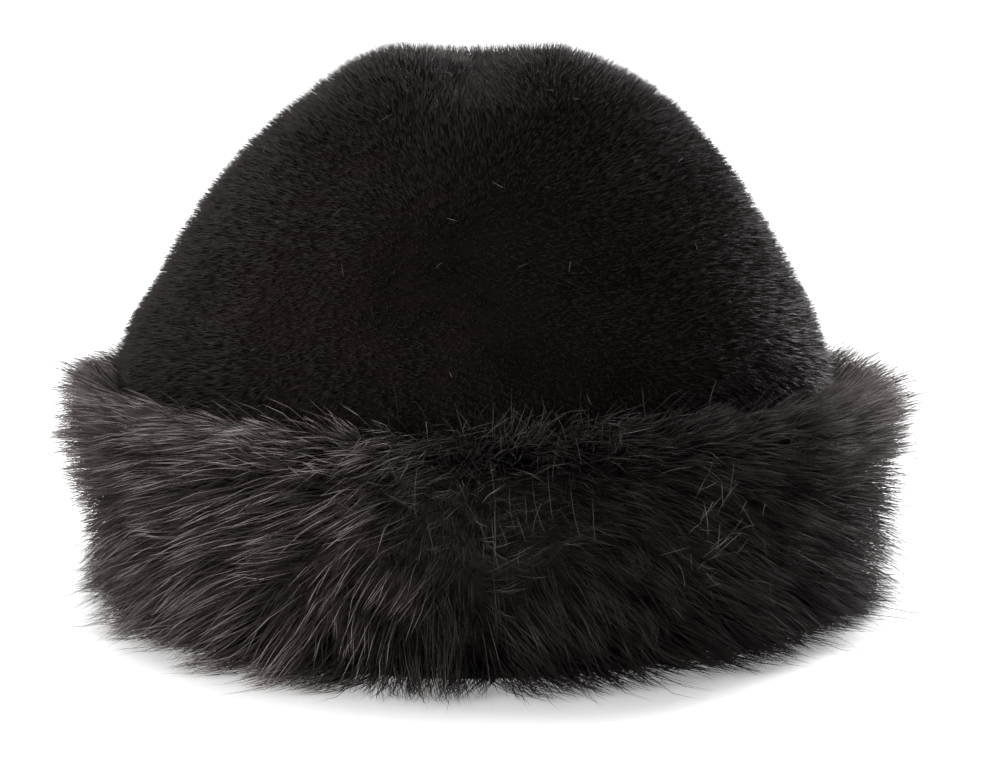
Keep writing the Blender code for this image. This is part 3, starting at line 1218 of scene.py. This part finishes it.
@dataclass
class LooseHairs:
    """Single pale hairs, shed from the fur and caught on it and on the pile.

    lint is how many lie on each side of the crown. The spreads are by how much a hair's place,
    turn and bend stray inside its patch, and the pale share falls off faster with a higher rarity.
    """

    crown: Crown
    radius: float = 0.00007
    lint: int = 48
    lint_from: float = 0.070
    lint_above: float = 0.0038
    lint_lengths: Pair = (0.0015, 0.0050)
    lint_bend: float = 0.8
    lint_dip: float = 0.1
    bearing_spread: float = 0.6
    height_spread: float = 0.8
    turn_spread: float = 0.7
    bend_spread: float = 0.35
    lean: Pair = (0.1, 0.2)
    length_span: Pair = (0.5, 1.5)
    pale_rarity: float = 1.5
    heights: Pair = (0.012, 0.076)
    fur_face: tuple[FurFace, ...] = (
        FurFace(height=0.000, out=0.024),
        FurFace(height=0.020, out=0.028),
        FurFace(height=0.050, out=0.027),
        FurFace(height=0.066, out=0.018),
        FurFace(height=0.076, out=0.008),
    )
    patches: tuple[Patch, ...] = (
        Patch(-64, 0.0420, 4, 0.0090, turn=40, scatter=35, length=0.0080, tone=1.2, count=28),
        Patch(-60, 0.0340, 8, 0.0120, turn=120, scatter=60, length=0.0060, tone=0.6, count=14),
        Patch(-72, 0.0735, 5, 0.0012, turn=2, scatter=14, length=0.0100, tone=1.2, count=14),
        Patch(-84, 0.0710, 9, 0.0030, turn=88, scatter=45, length=0.0090, tone=0.2, count=44),
        Patch(-112, 0.0670, 8, 0.0030, turn=155, scatter=20, length=0.0130, tone=0.5, count=18),
        Patch(-83, 0.0460, 6, 0.0100, turn=100, scatter=16, length=0.0110, tone=0.2, count=16),
        Patch(-100, 0.0560, 8, 0.0060, turn=130, scatter=50, length=0.0080, tone=0.3, count=12),
        Patch(-45, 0.0670, 12, 0.0040, turn=20, scatter=60, length=0.0080, tone=0.4, count=16),
        Patch(90, 0.0500, 70, 0.0160, turn=60, scatter=80, length=0.0090, tone=0.4, count=36),
    )
    hair: HairShape = field(
        default_factory=lambda: HairShape(
            (Ring(0.0, 0.5), Ring(0.2, 1.0), Ring(0.4, 1.0), Ring(0.6, 0.9), Ring(0.8, 0.6))
        )
    )

    def _on_crown(self, draw: np.random.Generator) -> Strands:
        """Lays short hairs on the tips of the crown's pile.

        Args:
            draw: Where the chances come from.

        Returns:
            The hairs.
        """
        found = [self.crown.form.scatter(side, self.lint, self.lint_from, draw) for side in Side]
        points, normals = (np.concatenate(part) for part in zip(*found))
        depth = self.crown.depth(points, normals[:, 2])
        way = across(draw.normal(size=points.shape), normals)
        turned = unit(way + np.cross(normals, way) * draw.normal(0, self.lint_bend, (len(points), 1)))
        return Strands(
            root=points + normals * (self.lint_above - depth)[:, None],
            first=unit(way + self.lint_dip * normals),
            last=unit(turned - self.lint_dip * normals),
            length=draw.uniform(*self.lint_lengths, len(points)),
            radius=np.full(len(points), self.radius),
            tone=draw.random(len(points)) ** 2,
        )

    def _on_cuff(self, draw: np.random.Generator) -> Strands:
        """Lays longer hairs on the cuff's fur, in patches.

        Args:
            draw: Where the chances come from.

        Returns:
            The hairs.
        """
        spots = np.array([patch[:-1] for patch in self.patches for _ in range(patch.count)])
        bearing, height, wide, high, turn, scatter, length, tone = spots.T
        count = len(spots)
        angle = np.radians(bearing + wide * draw.normal(0, self.bearing_spread, count))
        height = np.clip(height + high * draw.normal(0, self.height_spread, count), *self.heights)
        out = np.interp(height, *zip(*self.fur_face))
        points, ways_out, ways_round = self.crown.form.beside(angle, out, height)
        way = np.radians(turn + scatter * draw.normal(0, self.turn_spread, count))[:, None]
        bend = way + draw.normal(0, self.bend_spread, (count, 1))
        lean = draw.normal(*self.lean, (count, 1))
        return Strands(
            root=points,
            first=unit(ways_round * np.cos(way) + UP * np.sin(way) + ways_out * lean),
            last=unit(ways_round * np.cos(bend) + UP * np.sin(bend) + ways_out * lean),
            length=length * draw.uniform(*self.length_span, count),
            radius=np.full(count, self.radius),
            tone=tone * draw.uniform(0, 1, count) ** self.pale_rarity,
        )

    def grow(self, finish: bpy.types.Material) -> bpy.types.Object:
        """Lays the hairs on the cuff and the crown.

        Args:
            finish: Their material.

        Returns:
            The piece.
        """
        draw = np.random.default_rng(90)
        laid = self._on_cuff(draw), self._on_crown(draw)
        names = [column.name for column in fields(Strands)]
        strands = Strands(*(np.concatenate([getattr(part, name) for part in laid]) for name in names))
        path = strands.path(self.hair.along)
        return self.hair.grow("loose_hairs", strands, path, finish, "long_fur")


class Lamp(NamedTuple):
    """A soft square lamp: where it hangs, its width and its power in watts."""

    name: str
    place: Place
    size: float
    power: float


@dataclass
class Studio:
    """A pale floor, soft lamps and the camera.

    The daylight's angle is how wide the sky is that it comes from, and its turns lean it back
    and sideways, all in degrees.
    """

    target: Place = (0.0069, 0.0, 0.0640)
    distance: float = 1.10
    elevation: float = 10.5
    frame_width: float = 0.300
    film_width: float = 36.0
    floor_size: float = 12.0
    floor_colour: Colour = (0.90, 0.90, 0.895)
    floor_patches: float = 0.99
    floor_glow: float = 0.28
    air: float = 0.42
    daylight: float = 2.9
    daylight_angle: float = 50.0
    daylight_turns: Pair = (-26.0, -8.0)
    lamps_aim: Place = (0.0, 0.0, 0.07)
    lamps: tuple[Lamp, ...] = (
        Lamp("left_front_lamp", place=(-0.95, -1.00, 0.32), size=0.25, power=15.0),
        Lamp("left_lamp", place=(-1.2, 0.1, 0.7), size=0.4, power=3.0),
        Lamp("right_back_lamp", place=(0.9, 1.0, 0.6), size=0.4, power=34.0),
    )

    def floor(self) -> bpy.types.Object:
        """Lays the floor.

        Returns:
            The floor.
        """
        shape = bmesh.new()
        bmesh.ops.create_grid(shape, x_segments=1, y_segments=1, size=self.floor_size)
        graph = Graph("pale_floor")
        darker = tuple(self.floor_patches * part for part in self.floor_colour)
        looks = {
            "Base Color": graph.blend(graph.noise(scale=3.0, detail=2.0), self.floor_colour, darker),
            "Roughness": 0.9,
            "Specular IOR Level": 0.1,
            "Emission Color": WHITE,
            "Emission Strength": self.floor_glow,
        }
        graph.dress(looks)
        made = placed("floor", as_mesh(shape, "floor", [graph.material]))
        return made

    def hang(self, lamp: Lamp) -> None:
        """Hangs a lamp that shines at the hat.

        Args:
            lamp: The lamp.
        """
        data = bpy.data.lights.new(lamp.name, "AREA")
        data.shape = "SQUARE"
        data.size = lamp.size
        data.energy = lamp.power
        turn = (Vector(self.lamps_aim) - Vector(lamp.place)).to_track_quat("-Z", "Y")
        placed(lamp.name, data).matrix_world = Matrix.Translation(lamp.place) @ turn.to_matrix().to_4x4()

    def light(self) -> None:
        """Sets the even daylight from above, the lamps and the air's own light."""
        sky = bpy.data.lights.new("daylight", "SUN")
        sky.energy = self.daylight
        sky.angle = math.radians(self.daylight_angle)
        turns = (math.radians(turn) for turn in self.daylight_turns)
        placed("daylight", sky).rotation_euler = (*turns, 0)
        for lamp in self.lamps:
            self.hang(lamp)
        world = bpy.data.worlds.new("studio_air")
        world.use_nodes = True
        air = world.node_tree.nodes["Background"]
        air.inputs["Color"].default_value = WHITE
        air.inputs["Strength"].default_value = self.air
        bpy.context.scene.world = world
        bpy.context.scene.view_settings.view_transform = "Standard"

    def camera(self) -> None:
        """Sets the camera at the height and distance that the crown and cuff show."""
        data = bpy.data.cameras.new("camera")
        data.sensor_width = self.film_width
        data.lens = self.film_width * self.distance / self.frame_width
        made = placed("camera", data)
        tilt = math.radians(self.elevation)
        place = Vector(self.target) + Vector((0, -math.cos(tilt), math.sin(tilt))) * self.distance
        turn = Matrix.Rotation(math.pi / 2 - tilt, 4, "X")
        made.matrix_world = Matrix.Translation(place) @ turn
        bpy.context.scene.camera = made


def report(piece: bpy.types.Object) -> None:
    """Logs a piece's name and how many faces it has."""
    LOG.info("%s: %d faces", piece.name, len(piece.data.polygons))


def main() -> None:
    """Builds the hat and the studio, and logs how many faces each piece has."""
    logging.basicConfig(level=logging.INFO, format="%(name)s %(message)s")
    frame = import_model()
    form = CrownForm(frame["nodes"]["crown"])
    crown = Crown(form)
    report(crown.skin())
    pile = SHORT_PILE.material()
    for side in Side:
        report(crown.pile(side, pile))
    cuff = Cuff(form)
    report(cuff.pelt())
    fur = LONG_FUR.material()
    for coat in Coat:
        report(cuff.fur(coat, fur))
    report(LooseHairs(crown).grow(LOOSE_HAIR.material()))
    studio = Studio()
    report(studio.floor())
    studio.light()
    studio.camera()


if __name__ == "__main__":
    main()
